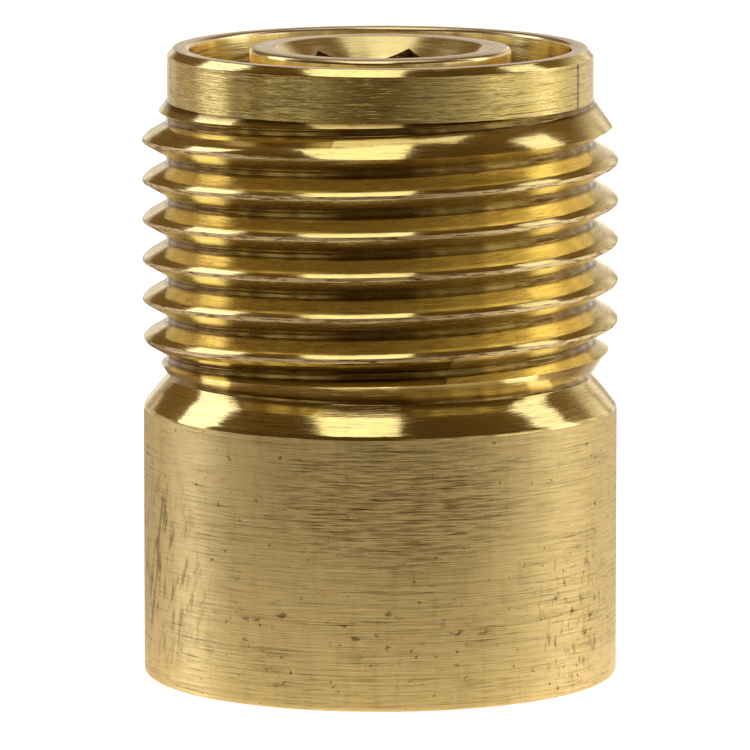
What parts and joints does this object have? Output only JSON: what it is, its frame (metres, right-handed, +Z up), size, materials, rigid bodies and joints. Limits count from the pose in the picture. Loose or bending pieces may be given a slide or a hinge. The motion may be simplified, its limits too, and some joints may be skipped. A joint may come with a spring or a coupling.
{
  "type": "thread adapter",
  "caption": "Turned brass thread adapter: plain round body with a threaded socket, outside thread above, plain rim with a ring recess and a boss with a hexagon socket.",
  "frame": {"origin": "centre of the bottom face, in which the threaded socket opens", "axes": "+Z up along the common axis of body, threads and hexagon, towards the boss; X and Y are free, the hexagon has a corner 12 degrees from +X"},
  "size_m": [0.0238, 0.0238, 0.0316],
  "materials": {
    "brass": "turned, uncoated, satin with bright thread flanks"
  },
  "bodies": {
    "root": {"adapter": "brass"}
  },
  "joints": []
}
